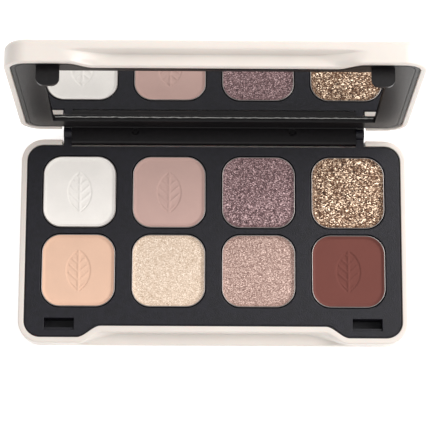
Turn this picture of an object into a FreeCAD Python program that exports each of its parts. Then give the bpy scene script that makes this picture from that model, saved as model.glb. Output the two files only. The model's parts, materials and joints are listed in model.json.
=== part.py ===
import FreeCAD, Part
import Sketcher
import math
import os
import re

# Eyeshadow palette: a hinged compact with eight pressed shades in metal pans and a mirror in the lid.
# Frame: millimetres, +Z up, +X to the right, the front towards -Y.
# The origin is the middle of the flat underside of the base. The lid stands open at its resting angle.
#
# Both halves are modelled with their rim in the plane z = 0 and their inside below it (negative z).
# The base is then lifted by its own height. The lid is turned over, set on the base and swung open
# about the hinge axis.

Vector = FreeCAD.Vector

SIZES = {
    # shells
    "opening_width": 114.0,
    "opening_depth": 59.4,
    "opening_corner": 5.0,
    "rim_width": 1.7,
    "base_height": 7.8,
    "lid_height": 7.1,
    "shell_floor": 1.3,
    "outer_rounding": 2.1,
    "rim_outer_rounding": 0.5,
    "rim_inner_rounding": 0.22,
    "closing_gap": 0.1,
    # thumb notch in the middle of the front, and the hollow below it
    "notch_inset": 3.47,
    "notch_inner": 35.2,
    "notch_outer": 39.6,
    "notch_rounding": 4.0,
    "lip_width": 1.9,
    "hollow_wall": 3.5,
    "hollow_slope": 1.4,
    # hinge
    "axis_y": 33.4,
    "axis_drop": 0.4,
    "open_angle": 92.6,
    "cutout_half": 46.3,
    "base_cutout": 4.1,
    "lid_cutout": 2.2,
    "spine_half": 43.5,
    "spine_front": 32.2,
    "spine_back": 35.1,
    "spine_reach": 3.5,
    "web_half": 46.1,
    "web_drop": 1.3,
    "web_thickness": 0.8,
    "web_rear": 34.4,
    "lug_gap": 0.08,
    "lug_thickness": 2.4,
    "lug_radius": 1.7,
    "pin_radius": 0.75,
    "pin_fit": 0.05,
    "pin_length": 7.0,
    "mark_spread": 24.0,
    "mark_radius": 1.2,
    "mark_depth": 0.6,
    "mark_height": 0.1,
    "mark_slope": 35.0,
    # tray
    "insert_gap": 0.45,
    "insert_edge": 0.3,
    "insert_fit": 0.1,
    "insert_rounding": 0.2,
    "tray_top": 0.35,
    "tray_plate": 1.3,
    "well_wall": 1.0,
    "well_floor": 1.4,
    "well_gap": 0.15,
    # pans and shades
    "pan_size": 22.39,
    "pan_corner": 5.8,
    "pan_pitch_x": 27.24,
    "pan_pitch_y": 24.32,
    "pan_centre_y": 2.91,
    "pan_top": 0.45,
    "pan_metal": 0.35,
    "pan_height": 4.4,
    "shade_drop": 0.15,
    "glue_radius": 5.0,
    # latch
    "latch_x": 46.4,
    "latch_y": 25.6,
    "tab_y": 26.0,
    "slot_width": 8.96,
    "slot_depth": 3.5,
    "tab_width": 6.5,
    "tab_thickness": 1.2,
    "tab_length": 5.4,
    "tab_corner": 2.2,
    "nib_height": 0.2,
    "slot_wall": 0.9,
    "slot_floor": 0.3,
    "ledge_width": 0.7,
    "ledge_drop": 0.8,
    # mirror and its frame
    "frame_top": 0.3,
    "groove_place": 0.9,
    "groove_width": 0.22,
    "groove_depth": 0.2,
    "frame_plate": 1.4,
    "frame_floor": 0.8,
    "skirt": 1.2,
    "window_width": 97.0,
    "window_front": 22.9,
    "window_rear": 23.4,
    "mirror_drop": 1.33,
    "mirror_thickness": 1.1,
    "mirror_gap": 0.2,
    "tape_thickness": 0.2,
    "tape_margin": 4.0,
}

PAN_NAMES = [
    ["matte_peach", "champagne", "rose_beige", "burgundy"],
    ["matte_white", "mauve_pink", "taupe", "gold_glitter"],
]

doc = FreeCAD.newDocument("eyeshadow_palette")
sheet = doc.addObject("Spreadsheet::Sheet", "Sizes")
for row, (alias, size) in enumerate(SIZES.items(), start=1):
    sheet.set("A%d" % row, alias)
    sheet.set("B%d" % row, str(size))
    sheet.setAlias("B%d" % row, alias)
doc.recompute()

NODES = []


def size_of(formula):
    """The value of a formula written in the sheet's names."""
    return float(sheet.evalExpression(formula))


def bound(formula):
    """The same formula as another object has to write it, with the sheet's name before each alias."""
    def with_sheet(word):
        return "Sizes." + word.group() if word.group() in SIZES else word.group()
    return re.sub("[a-z_]+", with_sheet, formula)


def new_body(name):
    body = doc.addObject("PartDesign::Body", name)
    body.Label = name
    body.AllowCompound = True
    NODES.append(body)
    return body


def new_sketch(body, name, plane="XY_Plane", offset="0"):
    """A sketch on one of the body's own origin planes, moved along the plane's normal."""
    sketch = body.newObject("Sketcher::SketchObject", body.Name + "_" + name)
    support = [feature for feature in body.Origin.OriginFeatures if feature.Role == plane][0]
    sketch.AttachmentSupport = (support, [""])
    sketch.MapMode = "FlatFace"
    sketch.setExpression("AttachmentOffset.Base.z", bound(offset))
    return sketch


def constrain(sketch, kind, *arguments, formula):
    """A dimension that follows a formula of the sheet."""
    index = sketch.addConstraint(Sketcher.Constraint(kind, *arguments, size_of(formula)))
    sketch.setExpression("Constraints[%d]" % index, bound(formula))


def rounded_rectangle(sketch, width, depth, corner, right, rear):
    """A rounded rectangle whose right side and rear side lie at the given places."""
    wide, deep, radius = size_of(width), size_of(depth), size_of(corner)
    x_high, y_high = size_of(right), size_of(rear)
    x_low, y_low = x_high - wide, y_high - deep
    centres = [
        Vector(x_high - radius, y_low + radius, 0),
        Vector(x_high - radius, y_high - radius, 0),
        Vector(x_low + radius, y_high - radius, 0),
        Vector(x_low + radius, y_low + radius, 0),
    ]
    arcs = []
    for turn, centre in enumerate(centres):
        start = (turn - 1) * math.pi / 2
        circle = Part.Circle(centre, Vector(0, 0, 1), radius)
        arcs.append(sketch.addGeometry(Part.ArcOfCircle(circle, start, start + math.pi / 2)))
    lines = []
    for turn in range(4):
        first = sketch.Geometry[arcs[turn]].EndPoint
        second = sketch.Geometry[arcs[(turn + 1) % 4]].StartPoint
        lines.append(sketch.addGeometry(Part.LineSegment(first, second)))
    for turn in range(4):
        sketch.addConstraint(Sketcher.Constraint("Tangent", arcs[turn], 2, lines[turn], 1))
        sketch.addConstraint(Sketcher.Constraint("Tangent", lines[turn], 2, arcs[(turn + 1) % 4], 1))
    for turn in range(4):
        direction = "Vertical" if turn % 2 == 0 else "Horizontal"
        sketch.addConstraint(Sketcher.Constraint(direction, lines[turn]))
    for turn in range(3):
        sketch.addConstraint(Sketcher.Constraint("Equal", arcs[turn], arcs[turn + 1]))
    constrain(sketch, "Radius", arcs[0], formula=corner)
    constrain(sketch, "DistanceX", -1, 1, lines[0], 1, formula=right)
    constrain(sketch, "DistanceY", -1, 1, lines[1], 1, formula=rear)
    constrain(sketch, "DistanceX", lines[2], 1, lines[0], 1, formula=width)
    constrain(sketch, "DistanceY", lines[3], 1, lines[1], 1, formula=depth)


def rectangle(sketch, left, right, low, high):
    """A plain rectangle between two places across and two places up."""
    x_low, x_high, y_low, y_high = [size_of(place) for place in (left, right, low, high)]
    corners = [(x_low, y_low), (x_high, y_low), (x_high, y_high), (x_low, y_high)]
    lines = []
    for turn in range(4):
        first = Vector(*corners[turn], 0)
        second = Vector(*corners[(turn + 1) % 4], 0)
        lines.append(sketch.addGeometry(Part.LineSegment(first, second)))
    for turn in range(4):
        sketch.addConstraint(Sketcher.Constraint("Coincident", lines[turn], 2, lines[(turn + 1) % 4], 1))
        direction = "Horizontal" if turn % 2 == 0 else "Vertical"
        sketch.addConstraint(Sketcher.Constraint(direction, lines[turn]))
    constrain(sketch, "DistanceX", -1, 1, lines[3], 1, formula=left)
    constrain(sketch, "DistanceX", -1, 1, lines[1], 1, formula=right)
    constrain(sketch, "DistanceY", -1, 1, lines[0], 1, formula=low)
    constrain(sketch, "DistanceY", -1, 1, lines[2], 1, formula=high)


def circle(sketch, radius, across="0", up="0"):
    centre = Vector(size_of(across), size_of(up), 0)
    ring = sketch.addGeometry(Part.Circle(centre, Vector(0, 0, 1), size_of(radius)))
    constrain(sketch, "Radius", ring, formula=radius)
    constrain(sketch, "DistanceX", -1, 1, ring, 3, formula=across)
    constrain(sketch, "DistanceY", -1, 1, ring, 3, formula=up)


def outline(sketch, corners):
    """A closed outline through the corners (x, y, radius); a radius of 0 leaves a corner sharp."""
    count = len(corners)
    entries, exits, arcs = [], [], []
    for turn, (across, up, radius) in enumerate(corners):
        here = Vector(across, up, 0)
        before = Vector(*corners[turn - 1][:2], 0) - here
        after = Vector(*corners[(turn + 1) % count][:2], 0) - here
        before.normalize()
        after.normalize()
        half = before.getAngle(after) / 2
        reach = radius / math.tan(half)
        entries.append(here + before * reach)
        exits.append(here + after * reach)
        if radius > 0:
            inward = before + after
            inward.normalize()
            middle = here + inward * (radius / math.sin(half) - radius)
            arcs.append(Part.Arc(entries[turn], middle, exits[turn]))
    for turn in range(count):
        sketch.addGeometry(Part.LineSegment(exits[turn], entries[(turn + 1) % count]))
    for arc in arcs:
        sketch.addGeometry(arc)


def pad(body, sketch, length, down=False, middle=False):
    feature = body.newObject("PartDesign::Pad", sketch.Name + "_pad")
    feature.Profile = sketch
    feature.setExpression("Length", bound(length))
    feature.Reversed = down
    feature.Midplane = middle
    doc.recompute()
    return feature


def pocket(body, sketch, length, up=False, middle=False, taper=None):
    """A cut that has to take some material away."""
    before = body.Shape.Volume
    feature = body.newObject("PartDesign::Pocket", sketch.Name + "_pocket")
    feature.Profile = sketch
    feature.setExpression("Length", bound(length))
    feature.Reversed = up
    feature.Midplane = middle
    if taper is not None:
        feature.setExpression("TaperAngle", bound(taper))
    doc.recompute()
    if not body.Shape.Volume < before - 1e-3:
        raise RuntimeError("%s cuts nothing: %s, %s" % (feature.Name, before, body.Shape.Volume))
    return feature


def fillet(body, name, radius, wanted):
    """A rounding of every edge of the body for which wanted(edge) is true."""
    base = body.Tip
    names = ["Edge%d" % (turn + 1) for turn, edge in enumerate(base.Shape.Edges) if wanted(edge)]
    feature = body.newObject("PartDesign::Fillet", body.Name + "_" + name)
    feature.Base = (base, names)
    feature.setExpression("Radius", bound(radius))
    body.Tip = feature
    doc.recompute()
    return feature


def flat_at(height, inside=None):
    """A test for edges that lie wholly in the plane z = height: all, or only those on one side of the rim."""
    corner = SIZES["opening_corner"]

    def test(edge):
        box = edge.BoundBox
        level = abs(box.ZMin - height) < 1e-3 and abs(box.ZMax - height) < 1e-3
        middle = edge.valueAt((edge.FirstParameter + edge.LastParameter) / 2)
        across = max(abs(middle.x) - SIZES["opening_width"] / 2 + corner, 0)
        back = max(abs(middle.y) - SIZES["opening_depth"] / 2 + corner, 0)
        inner = math.hypot(across, back) < corner + SIZES["rim_width"] / 2
        return level and inside in (None, inner)
    return test


OUTER_CORNER = "opening_corner + rim_width"
OUTER_RIGHT = "opening_width / 2 + rim_width"
OUTER_REAR = "opening_depth / 2 + rim_width"
FRONT = -size_of("opening_depth / 2")
NOTCH_LINE = FRONT + SIZES["notch_inset"]
RAMP_ANGLE = math.atan2(SIZES["notch_inset"], SIZES["notch_outer"] - SIZES["notch_inner"])

# The hollow narrows downwards, so that it has run out to the front face where it ends.
HOLLOW_TAPER = "-atan(( notch_inset - lip_width + rim_width ) / hollow_slope )"


def notch_corners(gap):
    """The left and the right corner points of the notch, from its outer to its inner end.

    gap moves the notch line into the palette, for the inserts that stay clear of the shell."""
    spread = gap * math.tan(RAMP_ANGLE / 2)
    radius = SIZES["notch_rounding"]
    outer = (SIZES["notch_outer"] + spread, FRONT + gap, radius)
    inner = (SIZES["notch_inner"] + spread, NOTCH_LINE + gap, radius)
    left = [(-across, up, rounding) for across, up, rounding in (outer, inner)]
    return left, [outer, inner]


def insert_outline(sketch, gap):
    """The outline of the opening, or of an insert that keeps the gap: a rounded rectangle with the notch."""
    left, right = notch_corners(gap)
    side = SIZES["opening_width"] / 2 - gap
    radius = SIZES["opening_corner"] - gap
    corners = [(-side, FRONT + gap, radius)] + left + right[::-1]
    corners += [(side, FRONT + gap, radius), (side, -FRONT - gap, radius), (-side, -FRONT - gap, radius)]
    outline(sketch, corners)


def hollow_outline(sketch):
    """The hollow in front of the lip: it follows the notch at the lip's width and runs out of the front."""
    left, right = notch_corners(-SIZES["lip_width"])
    side = SIZES["opening_width"] / 2
    far_front = 2 * FRONT
    ends = [(side, right[0][1], 0), (side, far_front, 0), (-side, far_front, 0), (-side, left[0][1], 0)]
    outline(sketch, left + right[::-1] + ends)


def shell(name, height, rear_cutout):
    """One outer shell: a shallow tub with a front notch, a hollow below its lip and a cut-out rear wall."""
    body = new_body(name)
    block = new_sketch(body, "outline")
    outer_width = "opening_width + 2 * rim_width"
    outer_depth = "opening_depth + 2 * rim_width"
    rounded_rectangle(block, outer_width, outer_depth, OUTER_CORNER, OUTER_RIGHT, OUTER_REAR)
    pad(body, block, height, down=True)
    fillet(body, "outer_edge", "outer_rounding", flat_at(-size_of(height)))

    cavity = new_sketch(body, "cavity")
    insert_outline(cavity, 0)
    pocket(body, cavity, height + " - shell_floor")
    fillet(body, "rim_inside", "rim_inner_rounding", flat_at(0, inside=True))
    fillet(body, "rim_outside", "rim_outer_rounding", flat_at(0, inside=False))

    upper = new_sketch(body, "hollow_wall")
    hollow_outline(upper)
    pocket(body, upper, "hollow_wall")
    lower = new_sketch(body, "hollow_slope", offset="-hollow_wall")
    hollow_outline(lower)
    pocket(body, lower, "hollow_slope", taper=HOLLOW_TAPER)

    rear = new_sketch(body, "rear_cutout")
    rectangle(rear, "-cutout_half", "cutout_half", "opening_depth / 2 - rim_width", "axis_y")
    pocket(body, rear, rear_cutout)
    return body


def set_base(body, across="0", back="0", height="base_height"):
    """Puts a piece of the base in its place."""
    place = zip("xyz", (across, back, height))
    for axis, formula in place:
        body.setExpression("Placement.Base." + axis, bound(formula))


def set_lid(body):
    """Turns a piece of the lid over, sets it on the base and swings it open about the hinge."""
    over = FreeCAD.Placement(Vector(0, 0, size_of("base_height + closing_gap")),
                             FreeCAD.Rotation(Vector(0, 1, 0), 180))
    swing = FreeCAD.Placement(Vector(), FreeCAD.Rotation(Vector(1, 0, 0), -SIZES["open_angle"]),
                              Vector(0, SIZES["axis_y"], size_of("base_height - axis_drop")))
    body.Placement = swing.multiply(over)


def column_centre(column):
    return "( %s ) * pan_pitch_x" % (column - 1.5)


def row_centre(row):
    return "pan_centre_y + ( %s ) * pan_pitch_y" % (row - 0.5)


def slot_rows(sketch, grown):
    """The two latch slots, or the boxes round them when they are grown by a wall."""
    for side in ("-", ""):
        rectangle(sketch, side + "latch_x - ( slot_width / 2" + grown + " )",
                  side + "latch_x + ( slot_width / 2" + grown + " )",
                  "-latch_y - ( slot_depth / 2" + grown + " )", "-latch_y + ( slot_depth / 2" + grown + " )")


def pan_tray():
    """The black insert of the base: a plate with eight wells, two latch slots and the hinge lugs.

    Each slot is shallow along its front, where a narrow ledge stands, and deep behind it."""
    body = new_body("pan_tray")
    plate = new_sketch(body, "plate", offset="-tray_top")
    insert_outline(plate, SIZES["insert_gap"])
    pad(body, plate, "tray_plate", down=True)
    flange = new_sketch(body, "flange", offset="-tray_top - insert_edge")
    insert_outline(flange, SIZES["insert_fit"])
    pad(body, flange, "tray_plate - insert_edge", down=True)

    well = "pan_size + 2 * well_gap"
    block = "pan_size + 2 * well_gap + 2 * well_wall"
    under = new_sketch(body, "wells", offset="-tray_top - tray_plate / 2")
    for column in range(4):
        rounded_rectangle(under, block, "pan_pitch_y + " + block, "pan_corner + well_gap + well_wall",
                          column_centre(column) + " + ( " + block + " ) / 2",
                          "pan_centre_y + pan_pitch_y / 2 + ( " + block + " ) / 2")
    pad(body, under, "base_height - shell_floor - tray_top - tray_plate / 2", down=True)
    wells = new_sketch(body, "well_cavities", offset="-tray_top")
    for column in range(4):
        for row in range(2):
            rounded_rectangle(wells, well, well, "pan_corner + well_gap",
                              column_centre(column) + " + ( " + well + " ) / 2",
                              row_centre(row) + " + ( " + well + " ) / 2")
    pocket(body, wells, "base_height - shell_floor - well_floor - tray_top")

    boxes = new_sketch(body, "latch_boxes", offset="-tray_top - tray_plate / 2")
    slot_rows(boxes, " + slot_wall")
    pad(body, boxes, "base_height - shell_floor - tray_top - tray_plate / 2", down=True)
    slots = new_sketch(body, "latch_slots")
    slot_rows(slots, "")
    pocket(body, slots, "tray_top + ledge_drop")
    for side in ("-", ""):
        deep = new_sketch(body, "deep_slot_" + ("left" if side else "right"))
        rectangle(deep, side + "latch_x - slot_width / 2", side + "latch_x + slot_width / 2",
                  "-latch_y - slot_depth / 2 + ledge_width", "-latch_y + slot_depth / 2")
        pocket(body, deep, "base_height - shell_floor - slot_floor")
    fillet(body, "top_edges", "insert_rounding", flat_at(-SIZES["tray_top"]))

    # The lugs are one bar along the axis whose middle is then taken out.
    bar = new_sketch(body, "lugs", plane="YZ_Plane")
    axis_height = -SIZES["axis_drop"]
    radius = SIZES["lug_radius"]
    root = size_of("opening_depth / 2 - insert_gap") - radius
    corners = [
        (root, axis_height - radius, 0),
        (SIZES["axis_y"] + radius, axis_height - radius, radius * 0.999),
        (SIZES["axis_y"] + radius, axis_height + radius, radius * 0.999),
        (SIZES["axis_y"] - radius, axis_height + radius, radius * 0.999),
        (SIZES["axis_y"] - radius, -SIZES["tray_top"], 0),
        (root, -SIZES["tray_top"], 0),
    ]
    outline(bar, corners)
    pad(body, bar, "2 * ( spine_half + lug_gap + lug_thickness )", middle=True)
    middle = new_sketch(body, "between_lugs", plane="YZ_Plane")
    rectangle(middle, "opening_depth / 2 - insert_gap", "axis_y + 2 * lug_radius",
              "-axis_drop - 2 * lug_radius", "-axis_drop + 2 * lug_radius")
    pocket(body, middle, "2 * ( spine_half + lug_gap )", middle=True)
    hole = new_sketch(body, "pin_holes", plane="YZ_Plane")
    circle(hole, "pin_radius", "axis_y", "-axis_drop")
    pocket(body, hole, "opening_width", middle=True)
    set_base(body)
    return body


def pan(name):
    """A thin pressed metal pan, modelled round its own middle with its rim in the plane z = 0."""
    body = new_body(name)
    outside = new_sketch(body, "outside")
    rounded_rectangle(outside, "pan_size", "pan_size", "pan_corner", "pan_size / 2", "pan_size / 2")
    pad(body, outside, "pan_height", down=True)
    inside = new_sketch(body, "inside")
    hollow = "pan_size - 2 * pan_metal"
    rounded_rectangle(inside, hollow, hollow, "pan_corner - pan_metal", "( " + hollow + " ) / 2",
                      "( " + hollow + " ) / 2")
    pocket(body, inside, "pan_height - pan_metal")
    return body


def shade(name):
    """The cake of pressed powder that fills a pan to just under its rim."""
    body = new_body(name)
    cake = new_sketch(body, "cake", offset="-shade_drop")
    hollow = "pan_size - 2 * pan_metal"
    rounded_rectangle(cake, hollow, hollow, "pan_corner - pan_metal", "( " + hollow + " ) / 2",
                      "( " + hollow + " ) / 2")
    pad(body, cake, "pan_height - pan_metal - shade_drop", down=True)
    return body


def pan_adhesive():
    """Eight dots of glue between the wells and the pans."""
    body = new_body("pan_adhesive")
    dots = new_sketch(body, "dots", offset="-base_height + shell_floor + well_floor")
    for column in range(4):
        for row in range(2):
            circle(dots, "glue_radius", column_centre(column), row_centre(row))
    pad(body, dots, "base_height - shell_floor - well_floor - pan_top - pan_height")
    set_base(body)
    return body


def hinge_pin(name, side):
    """A short steel pin, pressed into a lug of the tray and turning in the end of the spine."""
    pin = doc.addObject("Part::Cylinder", name)
    pin.Label = name
    pin.setExpression("Radius", bound("pin_radius"))
    pin.setExpression("Height", bound("pin_length"))
    outer_end = "spine_half + lug_gap + lug_thickness"
    start = outer_end + " - pin_length" if side > 0 else "-( " + outer_end + " )"
    pin.Placement = FreeCAD.Placement(Vector(), FreeCAD.Rotation(Vector(0, 1, 0), 90))
    set_base(pin, start, "axis_y", "base_height - axis_drop")
    NODES.append(pin)
    return pin


AXIS_IN_LID = "axis_drop + closing_gap"


def mirror_frame():
    """The black insert of the lid: mirror recess, skirt, hinge spine and the two latch tabs.

    The web joins the spine to the skirt and closes the lid's cut-out behind the lugs."""
    body = new_body("mirror_frame")
    plate = new_sketch(body, "plate", offset="-frame_top")
    insert_outline(plate, SIZES["insert_gap"])
    pad(body, plate, "lid_height - shell_floor - frame_top", down=True)
    flange = new_sketch(body, "flange", offset="-frame_top - insert_edge")
    insert_outline(flange, SIZES["insert_fit"])
    pad(body, flange, "lid_height - shell_floor - frame_top - insert_edge", down=True)

    recess_floor = "mirror_drop + mirror_thickness + tape_thickness"
    recess = new_sketch(body, "mirror_recess")
    rectangle(recess, "-window_width / 2", "window_width / 2", "-window_front", "window_rear")
    pocket(body, recess, recess_floor)
    fillet(body, "top_edges", "insert_rounding", flat_at(-SIZES["frame_top"]))
    groove = new_sketch(body, "groove", offset="-frame_top")
    insert_outline(groove, size_of("insert_gap + groove_place"))
    insert_outline(groove, size_of("insert_gap + groove_place + groove_width"))
    pocket(body, groove, "groove_depth")
    back = new_sketch(body, "back_hollow", offset="-lid_height + shell_floor")
    hollow_depth = "opening_depth - notch_inset - 2 * insert_gap - 2 * skirt"
    hollow_width = "opening_width - 2 * insert_gap - 2 * skirt"
    rounded_rectangle(back, hollow_width, hollow_depth, "opening_corner - skirt",
                      "opening_width / 2 - insert_gap - skirt", "opening_depth / 2 - insert_gap - skirt")
    pocket(body, back, "lid_height - shell_floor - frame_floor - ( " + recess_floor + " )", up=True)

    spine = new_sketch(body, "spine", plane="YZ_Plane")
    tip = size_of(AXIS_IN_LID + " + spine_reach")
    front_face, back_face = SIZES["spine_front"], SIZES["spine_back"]
    root = size_of("opening_depth / 2 - insert_gap - skirt")
    web_top, web_bottom = -SIZES["web_drop"], -size_of("web_drop + web_thickness")
    corners = [
        (root, web_bottom, 0),
        (back_face, web_bottom, 1.1),
        (back_face, tip, 0.9),
        (front_face, tip, 0.7),
        (front_face, web_top, 0.4),
        (root, web_top, 0),
    ]
    outline(spine, corners)
    pad(body, spine, "2 * spine_half", middle=True)
    web = new_sketch(body, "web", plane="YZ_Plane")
    rectangle(web, "opening_depth / 2 - insert_gap - skirt", "web_rear",
              "-web_drop - web_thickness", "-web_drop")
    pad(body, web, "2 * web_half", middle=True)
    for side in (1, -1):
        hole = new_sketch(body, "pin_hole_%s" % ("left" if side > 0 else "right"), plane="YZ_Plane",
                          offset="%d * spine_half" % side)
        circle(hole, "pin_radius + pin_fit", "axis_y", AXIS_IN_LID)
        pocket(body, hole, "pin_length - lug_gap - lug_thickness + 2 * pin_fit", up=side < 0)
    marks = new_sketch(body, "spine_marks", plane="XZ_Plane", offset="-spine_front")
    for side in ("-", ""):
        circle(marks, "mark_radius", side + "mark_spread", "mark_height")
    pocket(body, marks, "mark_depth", taper="-mark_slope")

    tabs = new_sketch(body, "latch_tabs", plane="XZ_Plane", offset="tab_y")
    half = SIZES["tab_width"] / 2
    root = -size_of("frame_top + frame_plate")
    end = SIZES["tab_length"] - SIZES["frame_top"]
    for side in (-1, 1):
        middle = side * SIZES["latch_x"]
        outline(tabs, [
            (middle - half, root, 0),
            (middle + half, root, 0),
            (middle + half, end, SIZES["tab_corner"]),
            (middle - half, end, SIZES["tab_corner"]),
        ])
    pad(body, tabs, "tab_thickness", middle=True)
    nibs = new_sketch(body, "latch_nibs", plane="XZ_Plane", offset="tab_y - tab_thickness / 2")
    for side in ("-", ""):
        rectangle(nibs, side + "latch_x - tab_width / 4", side + "latch_x + tab_width / 4",
                  "tab_length - frame_top - tab_corner", "tab_length - frame_top - tab_corner / 2")
    pad(body, nibs, "nib_height", down=True)
    set_lid(body)
    return body


def mirror_glass():
    """The mirror, glued into the recess of its frame."""
    body = new_body("mirror_glass")
    pane = new_sketch(body, "pane", offset="-mirror_drop")
    rectangle(pane, "-window_width / 2 + mirror_gap", "window_width / 2 - mirror_gap",
              "-window_front + mirror_gap", "window_rear - mirror_gap")
    pad(body, pane, "mirror_thickness", down=True)
    set_lid(body)
    return body


def mirror_tape():
    """The double-sided tape behind the mirror."""
    body = new_body("mirror_tape")
    film = new_sketch(body, "film", offset="-mirror_drop - mirror_thickness")
    rectangle(film, "-window_width / 2 + tape_margin", "window_width / 2 - tape_margin",
              "-window_front + tape_margin", "window_rear - tape_margin")
    pad(body, film, "tape_thickness", down=True)
    set_lid(body)
    return body


def export_nodes():
    """Checks every object and every piece, then writes one file for each node."""
    doc.recompute()
    for item in doc.Objects:
        if "Invalid" in item.State or "Error" in item.State:
            raise RuntimeError(item.Name + " failed")
    for node in NODES:
        if node.Shape.isNull() or not node.Shape.isValid():
            raise RuntimeError(node.Label + " has no valid shape")
    os.makedirs("parts", exist_ok=True)
    for node in NODES:
        node.Shape.exportStep("parts/%s.step" % node.Label)
        print("%-22s %10.1f mm3, %d solid(s)" % (node.Label, node.Shape.Volume, len(node.Shape.Solids)))


set_base(shell("base_shell", "base_height", "base_cutout"))
pan_tray()
pan_adhesive()
for row, names in enumerate(PAN_NAMES):
    for column, name in enumerate(names):
        for piece in (pan("pan_" + name), shade("shade_" + name)):
            set_base(piece, column_centre(column), row_centre(row), "base_height - pan_top")
hinge_pin("hinge_pin_left", -1)
hinge_pin("hinge_pin_right", 1)
set_lid(shell("lid_shell", "lid_height", "lid_cutout"))
mirror_frame()
mirror_glass()
mirror_tape()
export_nodes()
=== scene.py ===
import bmesh
import bpy
import json
import math
from mathutils import Matrix, Vector, noise


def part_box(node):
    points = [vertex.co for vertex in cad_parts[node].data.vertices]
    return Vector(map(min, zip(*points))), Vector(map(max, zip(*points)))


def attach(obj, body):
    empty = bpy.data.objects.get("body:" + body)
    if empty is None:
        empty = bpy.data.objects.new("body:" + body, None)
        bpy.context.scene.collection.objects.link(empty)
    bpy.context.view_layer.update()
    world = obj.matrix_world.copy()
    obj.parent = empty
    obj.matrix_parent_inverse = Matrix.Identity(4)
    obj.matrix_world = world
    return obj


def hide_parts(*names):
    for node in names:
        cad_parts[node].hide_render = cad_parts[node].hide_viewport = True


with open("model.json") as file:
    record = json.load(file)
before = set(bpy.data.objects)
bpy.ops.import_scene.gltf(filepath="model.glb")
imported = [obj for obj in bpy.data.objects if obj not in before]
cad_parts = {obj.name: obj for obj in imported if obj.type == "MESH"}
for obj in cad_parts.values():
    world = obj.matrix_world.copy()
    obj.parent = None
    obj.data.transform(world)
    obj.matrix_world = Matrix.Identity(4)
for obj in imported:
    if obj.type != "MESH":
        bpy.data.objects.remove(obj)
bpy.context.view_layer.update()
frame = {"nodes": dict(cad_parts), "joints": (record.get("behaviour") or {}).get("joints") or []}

MM = 0.001
HINGE = frame["joints"][0]
AXIS_POINT = Vector(HINGE["pos_m"])
OPEN_ANGLE = math.radians(HINGE["range_deg"][1])
FINISHES = {
    "matte_peach": "matte",
    "champagne": "shimmer",
    "rose_beige": "shimmer",
    "burgundy": "matte",
    "matte_white": "matte",
    "mauve_pink": "matte",
    "taupe": "shimmer",
    "gold_glitter": "glitter",
}


# ---------------------------------------------------------------- sizes, in millimetres

def swing(angle):
    """The turn of the lid about the hinge axis."""
    there = Matrix.Translation(AXIS_POINT)
    back = Matrix.Translation(-AXIS_POINT)
    return there @ Matrix.Rotation(angle, 4, "X") @ back


def closed_box(node):
    """The lowest and highest corners of a lid node when the lid is shut, in millimetres."""
    shut = swing(OPEN_ANGLE)
    points = [shut @ vertex.co for vertex in frame["nodes"][node].data.vertices]
    low = [min(point[axis] for point in points) / MM for axis in range(3)]
    high = [max(point[axis] for point in points) / MM for axis in range(3)]
    return low, high


# The outer sizes of the two shells are read from the frame.
BASE_HIGH = [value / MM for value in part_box("base_shell")[1]]
RIM_HEIGHT = BASE_HIGH[2]
LID_LOW, LID_HIGH = closed_box("lid_shell")
LID_HEIGHT = LID_HIGH[2] - LID_LOW[2]

# A shell: its rim with the roundings on either side, the opening's corners and the arc centres they share.
RIM_WIDTH = 1.7
RIM_OUTSIDE = 0.5
RIM_INSIDE = 0.22
OPENING_CORNER = 5.0
OUTER_ROUNDING = 2.1
SHELL_FLOOR = 1.3
CENTRE_X = BASE_HIGH[0] - RIM_WIDTH - OPENING_CORNER
CENTRE_Y = BASE_HIGH[1] - RIM_WIDTH - OPENING_CORNER

# The thumb notch in the front, whose ramps run from START to END, measured from the middle of the palette.
# Each ramp moves outwards a little from ring to ring, so that the lip stays equally wide along it.
NOTCH_INSET = 3.47
LIP_WIDTH = 1.9
RAMP_START = 41.0
RAMP_END = 33.8
RAMP_SHIFT = 0.35

# The finger hollow below the notch: a straight wall down from the rim, then a short slope out to the front.
# Its ends soften with depth, and are as long as START and END say from SOFT_DEPTH downwards.
HOLLOW_INSET = NOTCH_INSET - LIP_WIDTH + RIM_WIDTH
HOLLOW_START = 43.6
HOLLOW_END = 27.0
HOLLOW_TOP = 0.9
HOLLOW_WALL = 3.2
HOLLOW_SLOPE = 0.85
SOFT_DEPTH = 3.0

# The cut-out for the hinge in the rear wall of each shell.
CUTOUT_HALF = 46.3
CUTOUT_END = 0.3
BASE_CUTOUT = 4.1
LID_CUTOUT = 2.2

# The drawn metal pans, and how much narrower than its CAD solid each one is drawn on every side.
PAN_METAL = 0.32
PAN_CORNER = 5.8
PAN_FOOT = 0.8
PAN_RELIEF = 0.1

# The powder: a raised margin, slow waves, and a grain whose height and fineness depend on the finish.
MARGIN_WIDTH = 0.85
MARGIN_RISE = 0.62
MARGIN_DROP = 0.02
POWDER_TOP = -0.01
WAVE_HEIGHT = 0.03
WAVE_FINENESS = 0.18
GRAIN = {"matte": (0.006, 3.1), "shimmer": (0.02, 2.6), "glitter": (0.06, 2.0)}
SECOND_GRAIN = (0.6, 2.3)
SEED_STEP = 7.3

# The pressed leaf: a pointed oval with a raised middle vein and raised side veins. A crown above 1 gives
# a vein a flat top, and the lean turns a distance along y into one square to a side vein.
PRESS_DEPTH = 0.25
LEAF_HALF_WIDTH = 3.7
LEAF_HALF_LENGTH = 6.5
LEAF_EDGE = 0.3
MIDDLE_VEIN = 0.42
MIDDLE_CROWN = 1.25
SIDE_VEIN = 0.36
SIDE_CROWN = 1.2
SIDE_VEIN_RISE = 0.75
VEIN_PITCH = 2.6
VEIN_PHASE = 1.9
VEIN_SLOPE = 0.9
VEIN_LEAN = 0.74
VEIN_MARGIN = 0.55

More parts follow.
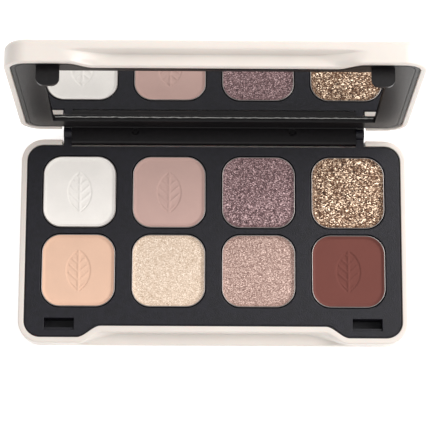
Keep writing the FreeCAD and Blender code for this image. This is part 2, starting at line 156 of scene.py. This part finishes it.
# A thin uneven bead along the mirror's edge by the hinge; its grey is a painted glint on the edge of the
# mirror's recess.
BEAD_RADIUS = 0.12
BEAD_SWELL = 0.1
BEAD_WANDER = 0.5
BEAD_FROM_EDGE = 0.5
BEAD_FROM_END = 0.3
BEAD_SINK = 0.02

# How finely the curves are divided, and the angles above which an edge stays sharp, in degrees.
SIDE_STEPS = 6
END_STEPS = 3
WALL_STEPS = 3
RAMP_STEPS = 34
CUTOUT_STEPS = 20
CORNER_STEPS = 14
RIM_STEPS = 6
OUTER_STEPS = 10
HOLLOW_STEPS = 10
ROLL_STEPS = 8
FOOT_STEPS = 4
POWDER_STEPS = 116
BEAD_STEPS = 240
BEAD_SIDES = 8
SHELL_SHARP = 50
POWDER_SHARP = 60


# ---------------------------------------------------------------- mesh helpers

def smooth_step(value):
    """0 below 0, 1 above 1, and a soft ramp between them."""
    value = max(0.0, min(1.0, value))
    return value * value * (3 - 2 * value)


def new_piece(name, mesh, body, material):
    """A visual piece that rides on a body of the frame."""
    piece = bpy.data.objects.new(name, mesh)
    bpy.context.scene.collection.objects.link(piece)
    mesh.materials.append(material)
    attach(piece, body)
    return piece


def finish_mesh(mesh_data, name, sharp_angle=40):
    """Turns mesh data into a mesh with smooth faces that keeps its sharp edges."""
    bmesh.ops.remove_doubles(mesh_data, verts=mesh_data.verts, dist=2e-6)
    bmesh.ops.dissolve_degenerate(mesh_data, dist=1e-6, edges=mesh_data.edges)
    bmesh.ops.recalc_face_normals(mesh_data, faces=mesh_data.faces)
    limit = math.radians(sharp_angle)
    for face in mesh_data.faces:
        face.smooth = True
    for edge in mesh_data.edges:
        edge.smooth = len(edge.link_faces) == 2 and edge.calc_face_angle(0) < limit
    mesh = bpy.data.meshes.new(name)
    mesh_data.to_mesh(mesh)
    mesh_data.free()
    return mesh


def ring_solid(name, rings, place, sharp_angle=40):
    """A closed solid through rings of points in millimetres, all with the same number of points."""
    data = bmesh.new()
    rows = [[data.verts.new(place @ (Vector(point) * MM)) for point in ring] for ring in rings]
    for first, second in zip(rows, rows[1:]):
        for turn in range(len(first)):
            after = (turn + 1) % len(first)
            data.faces.new((first[turn], first[after], second[after], second[turn]))
    data.faces.new(rows[0])
    data.faces.new(rows[-1])
    return finish_mesh(data, name, sharp_angle)


def even(start, stop, count):
    """Evenly spaced values from start to stop, both included."""
    return [start + (stop - start) * step / count for step in range(count + 1)]


def side_places(dense_from, dense_to, dense_count):
    """Places along a straight side, closer together where the side changes shape."""
    right = even(0, dense_from, SIDE_STEPS)
    right += even(dense_from, dense_to, dense_count)[1:]
    right += even(dense_to, CENTRE_X, END_STEPS)[1:]
    return [-place for place in reversed(right[1:])] + right


def corner_turn(quarter, step):
    """The angle of a point on one corner's arc, where the first quarter is the front right one."""
    return (quarter - 1) * math.pi / 2 + step / CORNER_STEPS * math.pi / 2


# ---------------------------------------------------------------- the two shells

FRONT_PLACES = side_places(HOLLOW_END - 0.6, HOLLOW_START + 0.6, RAMP_STEPS)
REAR_PLACES = side_places(CUTOUT_HALF - 1.5, CUTOUT_HALF + 1.5, CUTOUT_STEPS)


def shell_ring(offset, height, inset, cutout, softness=0.0):
    """One ring of a shell, at a distance from the arc centres of the corners.

    inset is how far the front runs in along the notch, cutout how deep the rear wall is cut.
    softness stretches the ramps at the ends of the notch, from 0 at the rim to 1 deep in the hollow.
    """
    points = []
    shift = RAMP_SHIFT * (OPENING_CORNER - offset)
    start = RAMP_START + shift + softness * (HOLLOW_START - RAMP_START)
    end = RAMP_END + shift + softness * (HOLLOW_END - RAMP_END)
    for place in FRONT_PLACES:
        ramp = smooth_step((start - abs(place)) / (start - end))
        points.append((place, -CENTRE_Y - offset + inset * ramp, height))
    corners = [(CENTRE_X, -CENTRE_Y), (CENTRE_X, CENTRE_Y), (-CENTRE_X, CENTRE_Y), (-CENTRE_X, -CENTRE_Y)]
    for quarter, (across, back) in enumerate(corners):
        for step in range(1, CORNER_STEPS):
            angle = corner_turn(quarter, step)
            points.append((across + offset * math.cos(angle), back + offset * math.sin(angle), height))
        if quarter in (0, 2):
            side = 1 if quarter == 0 else -1
            for place in even(-CENTRE_Y * side, CENTRE_Y * side, SIDE_STEPS):
                points.append((side * (CENTRE_X + offset), place, height))
        if quarter == 1:
            for place in reversed(REAR_PLACES):
                lowered = cutout * smooth_step((CUTOUT_HALF + CUTOUT_END / 2 - abs(place)) / CUTOUT_END)
                points.append((place, CENTRE_Y + offset, min(height, -lowered)))
    return points


def hollow_profile():
    """Down the hollow: how much of its inset is left, and at what height."""
    wall = [(1.0, -depth) for depth in even(HOLLOW_TOP, HOLLOW_WALL, WALL_STEPS)]
    slope = [(1.0 - smooth_step(part), -HOLLOW_WALL - HOLLOW_SLOPE * part)
             for part in even(0, 1, HOLLOW_STEPS)]
    return wall + slope


def shell_mesh(name, height, cutout, place):
    """A shell whose rim is in the plane z = 0: up the inner wall, over the rim and down outside."""
    inner = OPENING_CORNER
    outer = OPENING_CORNER + RIM_WIDTH
    floor = SHELL_FLOOR - height
    rings = [
        shell_ring(inner - 1.0, floor, NOTCH_INSET, cutout),
        shell_ring(inner, floor, NOTCH_INSET, cutout),
        shell_ring(inner, floor / 2, NOTCH_INSET, cutout),
    ]
    for angle in even(0, math.pi / 2, RIM_STEPS):
        offset = inner + RIM_INSIDE * (1 - math.cos(angle))
        drop = RIM_INSIDE * (1 - math.sin(angle))
        rings.append(shell_ring(offset, -drop, NOTCH_INSET, cutout))
    # Between the two roundings the lip widens, so the front moves from the notch to the hollow.
    for angle in even(0, math.pi / 2, RIM_STEPS):
        offset = outer - RIM_OUTSIDE * (1 - math.sin(angle))
        drop = RIM_OUTSIDE * (1 - math.cos(angle))
        rings.append(shell_ring(offset, -drop, HOLLOW_INSET, cutout))
    for share, level in hollow_profile():
        softness = min(1.0, -level / SOFT_DEPTH)
        rings.append(shell_ring(outer, level, share * HOLLOW_INSET, cutout, softness))
    for angle in even(0, math.pi / 2, OUTER_STEPS):
        offset = outer - OUTER_ROUNDING * (1 - math.cos(angle))
        rise = OUTER_ROUNDING * (1 - math.sin(angle))
        rings.append(shell_ring(offset, -height + rise, 0, cutout))
    rings.append(shell_ring(outer - OUTER_ROUNDING - 1.0, -height, 0, cutout))
    return ring_solid(name, rings, place, SHELL_SHARP)


# ---------------------------------------------------------------- pans and pressed shades

def pan_ring(half, corner, height):
    """One ring round a square with rounded corners, where half is half its width."""
    points = []
    centre = half - corner
    for quarter, (across, back) in enumerate([(1, -1), (1, 1), (-1, 1), (-1, -1)]):
        for step in range(CORNER_STEPS + 1):
            angle = corner_turn(quarter, step)
            x = across * centre + corner * math.cos(angle)
            y = back * centre + corner * math.sin(angle)
            points.append((x, y, height))
    return points


def pan_mesh(name, half, depth, place):
    """A drawn metal tray with a rolled rim, its rim in the plane z = 0."""
    rolled = PAN_METAL / 2
    inner = half - PAN_METAL
    rings = [pan_ring(inner, PAN_CORNER - PAN_METAL, -depth + PAN_METAL)]
    for angle in even(0, math.pi, ROLL_STEPS):
        offset = inner + rolled * (1 - math.cos(angle))
        rings.append(pan_ring(offset, PAN_CORNER - half + offset, -rolled + rolled * math.sin(angle)))
    for angle in even(0, math.pi / 2, FOOT_STEPS):
        offset = half - PAN_FOOT * (1 - math.cos(angle))
        rise = PAN_FOOT * (1 - math.sin(angle))
        rings.append(pan_ring(offset, PAN_CORNER - half + offset, -depth + rise))
    return ring_solid(name, rings, place)


def inside_distance(x, y, half, corner):
    """How far a point lies inside a rounded square."""
    across = abs(x) - (half - corner)
    back = abs(y) - (half - corner)
    outside = math.hypot(max(across, 0), max(back, 0))
    return corner - outside - min(max(across, back), 0)


def leaf_press(x, y):
    """The pressed leaf: 0 on the flat of the powder and on the veins, 1 where it is pressed in."""
    radius = (LEAF_HALF_WIDTH ** 2 + LEAF_HALF_LENGTH ** 2) / (2 * LEAF_HALF_WIDTH)
    edge = radius - math.hypot(abs(x) + radius - LEAF_HALF_WIDTH, y)
    pressed = smooth_step(edge / LEAF_EDGE + 0.5)
    raised = smooth_step(MIDDLE_CROWN - abs(x) / MIDDLE_VEIN)
    if abs(x) <= LEAF_HALF_WIDTH and edge >= VEIN_MARGIN:
        along = (y - VEIN_SLOPE * abs(x) + VEIN_PHASE) % VEIN_PITCH - VEIN_PITCH / 2
        aside = abs(along) * VEIN_LEAN
        raised = max(raised, SIDE_VEIN_RISE * smooth_step(SIDE_CROWN - aside / SIDE_VEIN))
    return pressed * (1 - raised)


def powder_height(x, y, half, corner, finish, seed):
    """The height of the powder over its flat field, in millimetres."""
    margin = MARGIN_RISE * smooth_step(1 - inside_distance(x, y, half, corner) / MARGIN_WIDTH)
    point = Vector((x, y, seed * SEED_STEP))
    height, fineness = GRAIN[finish]
    waves = WAVE_HEIGHT * noise.noise(point * WAVE_FINENESS)
    level = margin + waves + height * noise.noise(point * fineness)
    if finish == "matte":
        return level - PRESS_DEPTH * leaf_press(x, y)
    share, times = SECOND_GRAIN
    return level + height * share * noise.noise(point * fineness * times)


def bend_to_outline(x, y, half, corner):
    """Moves a point of a square grid so that the border of the grid follows the pan's rounded outline."""
    reach = max(abs(x), abs(y)) / half
    if reach == 0:
        return x, y
    centre = half - corner
    edge_x, edge_y = x / reach, y / reach
    if abs(edge_x) > centre and abs(edge_y) > centre:
        middle = Vector((math.copysign(centre, edge_x), math.copysign(centre, edge_y)))
        out = (Vector((edge_x, edge_y)) - middle).normalized() * corner
        edge_x, edge_y = middle.x + out.x, middle.y + out.y
    return edge_x * reach, edge_y * reach


def powder_mesh(name, half, corner, low, place, finish, seed):
    """The cake of powder: a fine grid bent into the pan's outline, with a skirt down to the pan's floor."""
    data = bmesh.new()
    rows = []
    for across_row in even(-half, half, POWDER_STEPS):
        line = []
        for across_line in even(-half, half, POWDER_STEPS):
            x, y = bend_to_outline(across_line, across_row, half, corner)
            top = powder_height(x, y, half, corner, finish, seed) - MARGIN_RISE - MARGIN_DROP
            line.append(data.verts.new(place @ (Vector((x, y, min(top, POWDER_TOP))) * MM)))
        rows.append(line)
    for front, rear in zip(rows, rows[1:]):
        for column in range(POWDER_STEPS):
            data.faces.new((front[column], front[column + 1], rear[column + 1], rear[column]))
    right = [line[-1] for line in rows[1:]]
    left = [line[0] for line in rows[-2:0:-1]]
    border = rows[0] + right + rows[-1][-2::-1] + left
    lower = [data.verts.new((vertex.co.x, vertex.co.y, low * MM)) for vertex in border]
    for turn in range(len(border)):
        after = (turn + 1) % len(border)
        data.faces.new((border[turn], lower[turn], lower[after], border[after]))
    data.faces.new(lower)
    return finish_mesh(data, name, POWDER_SHARP)


# ---------------------------------------------------------------- materials

CREAM = (0.715, 0.66, 0.615)
TRAY_BLACK = (0.0054, 0.0050, 0.0096)
FRAME_BLACK = (0.0045, 0.0036, 0.0045)
TIN_GREY = (0.36, 0.33, 0.32)
STEEL_GREY = (0.55, 0.55, 0.56)
TAPE_WHITE = (0.75, 0.75, 0.73)
GLUE_AMBER = (0.75, 0.7, 0.55)
# A light grey that paints the glint along the edge of the mirror's recess by the hinge.
GLINT_GREY = (0.3, 0.3, 0.29)
SILVER_LOW = (0.93, 0.935, 0.93)
SILVER_HIGH = (0.95, 0.95, 0.95)
PAPER_LOW = (0.93, 0.93, 0.93)
PAPER_HIGH = (0.95, 0.95, 0.95)

MATTE_COLOURS = {
    "matte_peach": (0.74, 0.488, 0.362),
    "burgundy": (0.155, 0.049, 0.039),
    "matte_white": (0.90, 0.862, 0.825),
    "mauve_pink": (0.555, 0.373, 0.334),
}

# Flakes per metre, how much shorter they are front to back, their lean, how metallic they are, and the
# colours of the darkest flakes, the dark ones, the light ones and the brightest.
FLAKES = {
    "champagne": {
        "scale": 4400, "stretch": 1.3, "lean": 0.38, "metal": 0.15,
        "shades": [(0.0, (0.50, 0.36, 0.25)), (0.35, (0.65, 0.495, 0.375)),
                   (0.7, (0.74, 0.59, 0.47)), (1.0, (0.93, 0.81, 0.70))],
    },
    "rose_beige": {
        "scale": 5000, "stretch": 1.2, "lean": 0.38, "metal": 0.3,
        "shades": [(0.0, (0.16, 0.085, 0.07)), (0.35, (0.33, 0.205, 0.172)),
                   (0.7, (0.45, 0.298, 0.255)), (1.0, (0.80, 0.60, 0.53))],
    },
    "taupe": {
        "scale": 4000, "stretch": 1.15, "lean": 0.46, "metal": 0.3,
        "shades": [(0.0, (0.035, 0.016, 0.02)), (0.35, (0.14, 0.074, 0.08)),
                   (0.7, (0.24, 0.137, 0.143)), (1.0, (0.68, 0.48, 0.49))],
    },
    "gold_glitter": {
        "scale": 2900, "stretch": 1.5, "lean": 0.75, "metal": 0.5,
        "shades": [(0.0, (0.016, 0.006, 0.003)), (0.35, (0.115, 0.046, 0.02)),
                   (0.65, (0.245, 0.13, 0.07)), (1.0, (0.92, 0.72, 0.54))],
    },
}


class Nodes:
    """A short way to build a material's node tree."""

    def __init__(self, name):
        self.material = bpy.data.materials.new(name)
        self.material.use_nodes = True
        self.tree = self.material.node_tree
        self.shader = self.tree.nodes["Principled BSDF"]
        coordinates = self.tree.nodes.new("ShaderNodeTexCoord")
        self.place = coordinates.outputs["Object"]

    def set(self, **values):
        """Sets sockets of the shader, named with _ for each space."""
        for name, value in values.items():
            self.shader.inputs[name.replace("_", " ")].default_value = value

    def add(self, kind, **values):
        """A new node, with its properties and input values set by name."""
        node = self.tree.nodes.new("ShaderNode" + kind)
        for name, value in values.items():
            if name in node.bl_rna.properties:
                setattr(node, name, value)
            else:
                node.inputs[name.replace("_", " ")].default_value = value
        return node

    def link(self, output, target):
        self.tree.links.new(output, target)

    def noise(self, scale, detail=3.0, roughness=0.5):
        """Noise whose scale is in features per metre."""
        node = self.add("TexNoise", Scale=scale, Detail=detail, Roughness=roughness)
        self.link(self.place, node.inputs["Vector"])
        return node.outputs["Fac"]

    def ramp(self, source, *stops):
        """Colours from a value, by stops of a position and a colour."""
        node = self.tree.nodes.new("ShaderNodeValToRGB")
        elements = node.color_ramp.elements
        while len(elements) < len(stops):
            elements.new(0.5)
        for element, (position, colour) in zip(elements, stops):
            element.position = position
            element.color = (*colour, 1)
        self.link(source, node.inputs["Fac"])
        return node.outputs["Color"]

    def range(self, source, low, high, source_low=0.0, source_high=1.0):
        """Maps a value from its own range to the range from low to high."""
        node = self.add("MapRange")
        values = (source_low, source_high, low, high)
        for name, value in zip(("From Min", "From Max", "To Min", "To Max"), values):
            node.inputs[name].default_value = value
        self.link(source, node.inputs["Value"])
        return node.outputs["Result"]

    def mix(self, factor, first, second):
        node = self.add("Mix", data_type="RGBA")
        self.link(factor, node.inputs["Factor"])
        self.link(first, node.inputs["A"])
        self.link(second, node.inputs["B"])
        return node.outputs["Result"]

    def bump(self, height, strength, distance, normal=None):
        node = self.add("Bump", Strength=strength, Distance=distance)
        self.link(height, node.inputs["Height"])
        if normal is not None:
            self.link(normal, node.inputs["Normal"])
        return node.outputs["Normal"]

    def to(self, output, name):
        """Links an output to a socket of the shader."""
        self.link(output, self.shader.inputs[name])


def tone(colour, factor):
    """A lighter or darker tone of a colour."""
    return tuple(min(1.0, channel * factor) for channel in colour)


def cream_plastic():
    """Satin moulded plastic, with a little light passing through it."""
    nodes = Nodes("cream_plastic")
    nodes.to(nodes.ramp(nodes.noise(90), (0.3, tone(CREAM, 0.975)), (0.7, tone(CREAM, 1.02))), "Base Color")
    nodes.to(nodes.range(nodes.noise(600), 0.3, 0.4), "Roughness")
    nodes.to(nodes.bump(nodes.noise(2500, 2), 0.06, 0.0002), "Normal")
    nodes.set(Subsurface_Weight=0.08, Subsurface_Scale=0.002)
    return nodes.material


def black_plastic(name, colour, roughness, grain, grain_scale, gloss):
    """Black moulded plastic with a fine spark-eroded grain."""
    nodes = Nodes(name)
    patches = nodes.noise(grain_scale / 4)
    nodes.to(nodes.ramp(patches, (0.3, tone(colour, 0.6)), (0.72, tone(colour, 1.45))), "Base Color")
    nodes.to(nodes.range(nodes.noise(grain_scale / 2), roughness - 0.07, roughness + 0.09), "Roughness")
    nodes.to(nodes.bump(nodes.noise(grain_scale, 4, 0.7), grain, 0.0001), "Normal")
    nodes.set(Specular_IOR_Level=gloss)
    return nodes.material


def drawn_metal(name, colour, roughness):
    """Drawn or turned metal, slightly uneven in tone and polish."""
    nodes = Nodes(name)
    nodes.set(Metallic=1.0)
    nodes.to(nodes.ramp(nodes.noise(300), (0.3, tone(colour, 0.92)), (0.7, colour)), "Base Color")
    nodes.to(nodes.range(nodes.noise(1500), roughness - 0.06, roughness + 0.08), "Roughness")
    return nodes.material


def mirror_silver():
    """The silvered face of the mirror."""
    nodes = Nodes("mirror_silver")
    nodes.set(Metallic=1.0)
    nodes.to(nodes.ramp(nodes.noise(40), (0.3, SILVER_LOW), (0.7, SILVER_HIGH)), "Base Color")
    nodes.to(nodes.range(nodes.noise(60), 0.0, 0.012), "Roughness")
    return nodes.material


def soft_film(name, colour, roughness=0.6):
    """Tape, set glue, or the grey bead that paints a glint."""
    nodes = Nodes(name)
    nodes.to(nodes.ramp(nodes.noise(400), (0.3, tone(colour, 0.9)), (0.7, colour)), "Base Color")
    nodes.to(nodes.range(nodes.noise(900), roughness - 0.1, roughness + 0.1), "Roughness")
    nodes.to(nodes.bump(nodes.noise(1200), 0.3, 0.0001), "Normal")
    return nodes.material


def matte_powder(name, colour):
    """Pressed matte pigment: a dry fine grain with a soft cloudiness."""
    nodes = Nodes(name)
    cloud = nodes.ramp(nodes.noise(160, 4), (0.3, tone(colour, 0.95)), (0.7, tone(colour, 1.04)))
    speck = nodes.ramp(nodes.noise(5200, 2), (0.35, tone(colour, 0.93)), (0.65, tone(colour, 1.05)))
    nodes.to(nodes.mix(nodes.noise(900, 2), cloud, speck), "Base Color")
    nodes.to(nodes.range(nodes.noise(2000), 0.75, 0.92), "Roughness")
    nodes.to(nodes.bump(nodes.noise(4200, 4, 0.7), 0.25, 0.00008), "Normal")
    nodes.set(Sheen_Weight=0.12, Sheen_Roughness=0.5, Specular_IOR_Level=0.25)
    return nodes.material


def sparkle_powder(name, scale, stretch, lean, metal, shades):
    """Pearl or glitter: every flake is a small bent cell with its own shade and its own lean."""
    nodes = Nodes(name)
    bend = nodes.add("TexNoise", Scale=scale / 4, Detail=2.0)
    nodes.link(nodes.place, bend.inputs["Vector"])
    bent = nodes.add("VectorMath", operation="MULTIPLY_ADD")
    nodes.link(bend.outputs["Color"], bent.inputs[0])
    bent.inputs[1].default_value = (2.5 / scale, 2.5 / scale, 2.5 / scale)
    nodes.link(nodes.place, bent.inputs[2])
    stretched = nodes.add("VectorMath", operation="MULTIPLY")
    nodes.link(bent.outputs[0], stretched.inputs[0])
    stretched.inputs[1].default_value = (1.0, stretch, 1.0)
    flakes = nodes.add("TexVoronoi", Scale=scale, feature="F1")
    nodes.link(stretched.outputs[0], flakes.inputs["Vector"])
    pick = nodes.add("SeparateColor")
    nodes.link(flakes.outputs["Color"], pick.inputs["Color"])
    nodes.to(nodes.ramp(pick.outputs["Red"], *shades), "Base Color")
    nodes.to(nodes.range(pick.outputs["Red"], 0.75, 0.35), "Roughness")
    nodes.to(nodes.range(pick.outputs["Red"], 0.0, metal, 0.4, 0.95), "Metallic")
    lean_by = nodes.add("VectorMath", operation="MULTIPLY_ADD")
    nodes.link(flakes.outputs["Color"], lean_by.inputs[0])
    lean_by.inputs[1].default_value = (lean, lean, lean)
    lean_by.inputs[2].default_value = (-lean / 2, -lean / 2, -lean / 2)
    geometry = nodes.add("NewGeometry")
    total = nodes.add("VectorMath", operation="ADD")
    nodes.link(lean_by.outputs[0], total.inputs[0])
    nodes.link(geometry.outputs["Normal"], total.inputs[1])
    unit = nodes.add("VectorMath", operation="NORMALIZE")
    nodes.link(total.outputs[0], unit.inputs[0])
    nodes.to(nodes.bump(nodes.noise(scale * 0.8, 3), 0.35, 0.0001, unit.outputs[0]), "Normal")
    return nodes.material


def shade_material(name):
    if FINISHES[name] == "matte":
        return matte_powder("powder_" + name, MATTE_COLOURS[name])
    return sparkle_powder("powder_" + name, **FLAKES[name])


def dress(node, material):
    """Gives a CAD node that stays in view a better material."""
    for slot in frame["nodes"][node].material_slots:
        slot.material = material


# ---------------------------------------------------------------- the palette

def build_shells():
    cream = cream_plastic()
    base_place = Matrix.Translation((0, 0, RIM_HEIGHT * MM))
    base = new_piece("base_casing", shell_mesh("base_casing", RIM_HEIGHT, BASE_CUTOUT, base_place),
                     "base", cream)
    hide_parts("base_shell")
    turned_over = Matrix.Translation((0, 0, LID_LOW[2] * MM)) @ Matrix.Rotation(math.pi, 4, "Y")
    lid_place = swing(-OPEN_ANGLE) @ turned_over
    lid = new_piece("lid_casing", shell_mesh("lid_casing", LID_HEIGHT, LID_CUTOUT, lid_place),
                    "lid", cream)
    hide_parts("lid_shell")
    build_mirror_bead(lid_place)


def build_mirror_bead(lid_place):
    """A thin, uneven bead along the mirror's edge by the hinge, in a grey that paints the glint on the
    recess's edge.
    """
    low, high = closed_box("mirror_glass")
    middle_back = high[1] - BEAD_FROM_EDGE
    middle_height = LID_LOW[2] - low[2] + BEAD_SINK
    rings = []
    for across in even(low[0] + BEAD_FROM_END, high[0] - BEAD_FROM_END, BEAD_STEPS):
        wander = BEAD_WANDER * noise.noise(Vector((across * 0.45, 2.0, 0)))
        radius = BEAD_RADIUS + BEAD_SWELL * noise.noise(Vector((across * 0.8, 7.0, 0)))
        ring = []
        for turn in range(BEAD_SIDES):
            angle = turn / BEAD_SIDES * 2 * math.pi
            back = middle_back + wander + radius * math.cos(angle)
            ring.append((across, back, middle_height + radius * math.sin(angle)))
        rings.append(ring)
    # The bead's grey paints the glint along the edge of the mirror's recess.
    new_piece("mirror_bead", ring_solid("mirror_bead", rings, lid_place), "lid",
              soft_film("painted_glint_bead", GLINT_GREY, 0.35))


def build_pans():
    tin = drawn_metal("pan_tin", TIN_GREY, 0.36)
    for seed, (name, finish) in enumerate(FINISHES.items()):
        low, high = [[value / MM for value in corner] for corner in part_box("pan_" + name)]
        half = (high[0] - low[0]) / 2 - PAN_RELIEF
        centre = Vector(((low[0] + high[0]) / 2, (low[1] + high[1]) / 2, high[2]))
        place = Matrix.Translation(centre * MM)
        pan = new_piece("tin_" + name, pan_mesh("tin_" + name, half, high[2] - low[2], place),
                        "base", tin)
        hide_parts("pan_" + name)
        mesh = powder_mesh("cake_" + name, half - PAN_METAL, PAN_CORNER - PAN_METAL, low[2] + PAN_METAL,
                           place, finish, seed)
        cake = new_piece("cake_" + name, mesh, "base", shade_material(name))
        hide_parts("shade_" + name)


def dress_frame():
    dress("pan_tray", black_plastic("black_tray", TRAY_BLACK, roughness=0.4, grain=1.0,
                                    grain_scale=3000, gloss=0.38))
    dress("mirror_frame", black_plastic("black_frame", FRAME_BLACK, roughness=0.36, grain=0.05,
                                        grain_scale=3800, gloss=0.36))
    dress("mirror_glass", mirror_silver())
    dress("mirror_tape", soft_film("tape", TAPE_WHITE))
    dress("pan_adhesive", soft_film("glue", GLUE_AMBER, 0.3))
    pin = drawn_metal("pin_steel", STEEL_GREY, 0.25)
    dress("hinge_pin_left", pin)
    dress("hinge_pin_right", pin)


# ---------------------------------------------------------------- floor, light and camera

# The floor and the lights are placed in metres.
FLOOR_HALF = 1.5
FLOOR_GLOW = 0.38
WORLD_COLOUR = (1.0, 0.995, 0.985, 1)
WORLD_STRENGTH = 0.6

# The camera looks down on the palette from a little in front of it. Its place is in millimetres from the
# middle of the base's rim, and its turns about the three axes are in degrees.
CAMERA_PLACE = (-3.3, -112.4, 562.5)
CAMERA_TURN = (12.07, -0.37, 0.30)
CAMERA_LENS = 158.5
CAMERA_SENSOR = 36.0


def build_floor():
    data = bmesh.new()
    bmesh.ops.create_grid(data, x_segments=8, y_segments=8, size=FLOOR_HALF)
    mesh = bpy.data.meshes.new("floor")
    data.to_mesh(mesh)
    data.free()
    floor = bpy.data.objects.new("floor", mesh)
    bpy.context.scene.collection.objects.link(floor)
    nodes = Nodes("floor_paper")
    nodes.to(nodes.ramp(nodes.noise(3), (0.3, PAPER_LOW), (0.7, PAPER_HIGH)), "Base Color")
    nodes.set(Roughness=0.9, Specular_IOR_Level=0.1)
    nodes.set(Emission_Color=(1, 1, 1, 1), Emission_Strength=FLOOR_GLOW)
    mesh.materials.append(nodes.material)


def soft_box(name, place, size, power, colour=(1, 1, 1)):
    """A rectangular studio light that faces the palette."""
    light = bpy.data.lights.new(name, "AREA")
    light.shape = "RECTANGLE"
    light.size, light.size_y = size
    light.energy = power
    light.color = colour
    lamp = bpy.data.objects.new(name, light)
    bpy.context.scene.collection.objects.link(lamp)
    lamp.location = place
    lamp.rotation_euler = (-Vector(place)).to_track_quat("-Z", "Y").to_euler()


def build_light():
    world = bpy.data.worlds.new("studio")
    world.use_nodes = True
    background = world.node_tree.nodes["Background"]
    background.inputs["Color"].default_value = WORLD_COLOUR
    background.inputs["Strength"].default_value = WORLD_STRENGTH
    bpy.context.scene.world = world
    soft_box("key_light", place=(0.62, 0.22, 0.62), size=(0.8, 0.6), power=8.6, colour=(1.0, 0.985, 0.965))
    soft_box("fill_light", place=(-0.6, -0.5, 0.75), size=(0.8, 0.8), power=1.8)


def build_camera():
    camera = bpy.data.cameras.new("camera")
    camera.sensor_width = CAMERA_SENSOR
    camera.lens = CAMERA_LENS
    camera.clip_start = 0.05
    camera.clip_end = 20.0
    eye = bpy.data.objects.new("camera", camera)
    bpy.context.scene.collection.objects.link(eye)
    across, back, up = CAMERA_PLACE
    eye.location = Vector((across, back, up + RIM_HEIGHT)) * MM
    eye.rotation_mode = "ZYX"
    eye.rotation_euler = [math.radians(angle) for angle in CAMERA_TURN]
    bpy.context.scene.camera = eye


bpy.context.scene.view_settings.view_transform = "Standard"
build_shells()
build_pans()
dress_frame()
build_floor()
build_light()
build_camera()
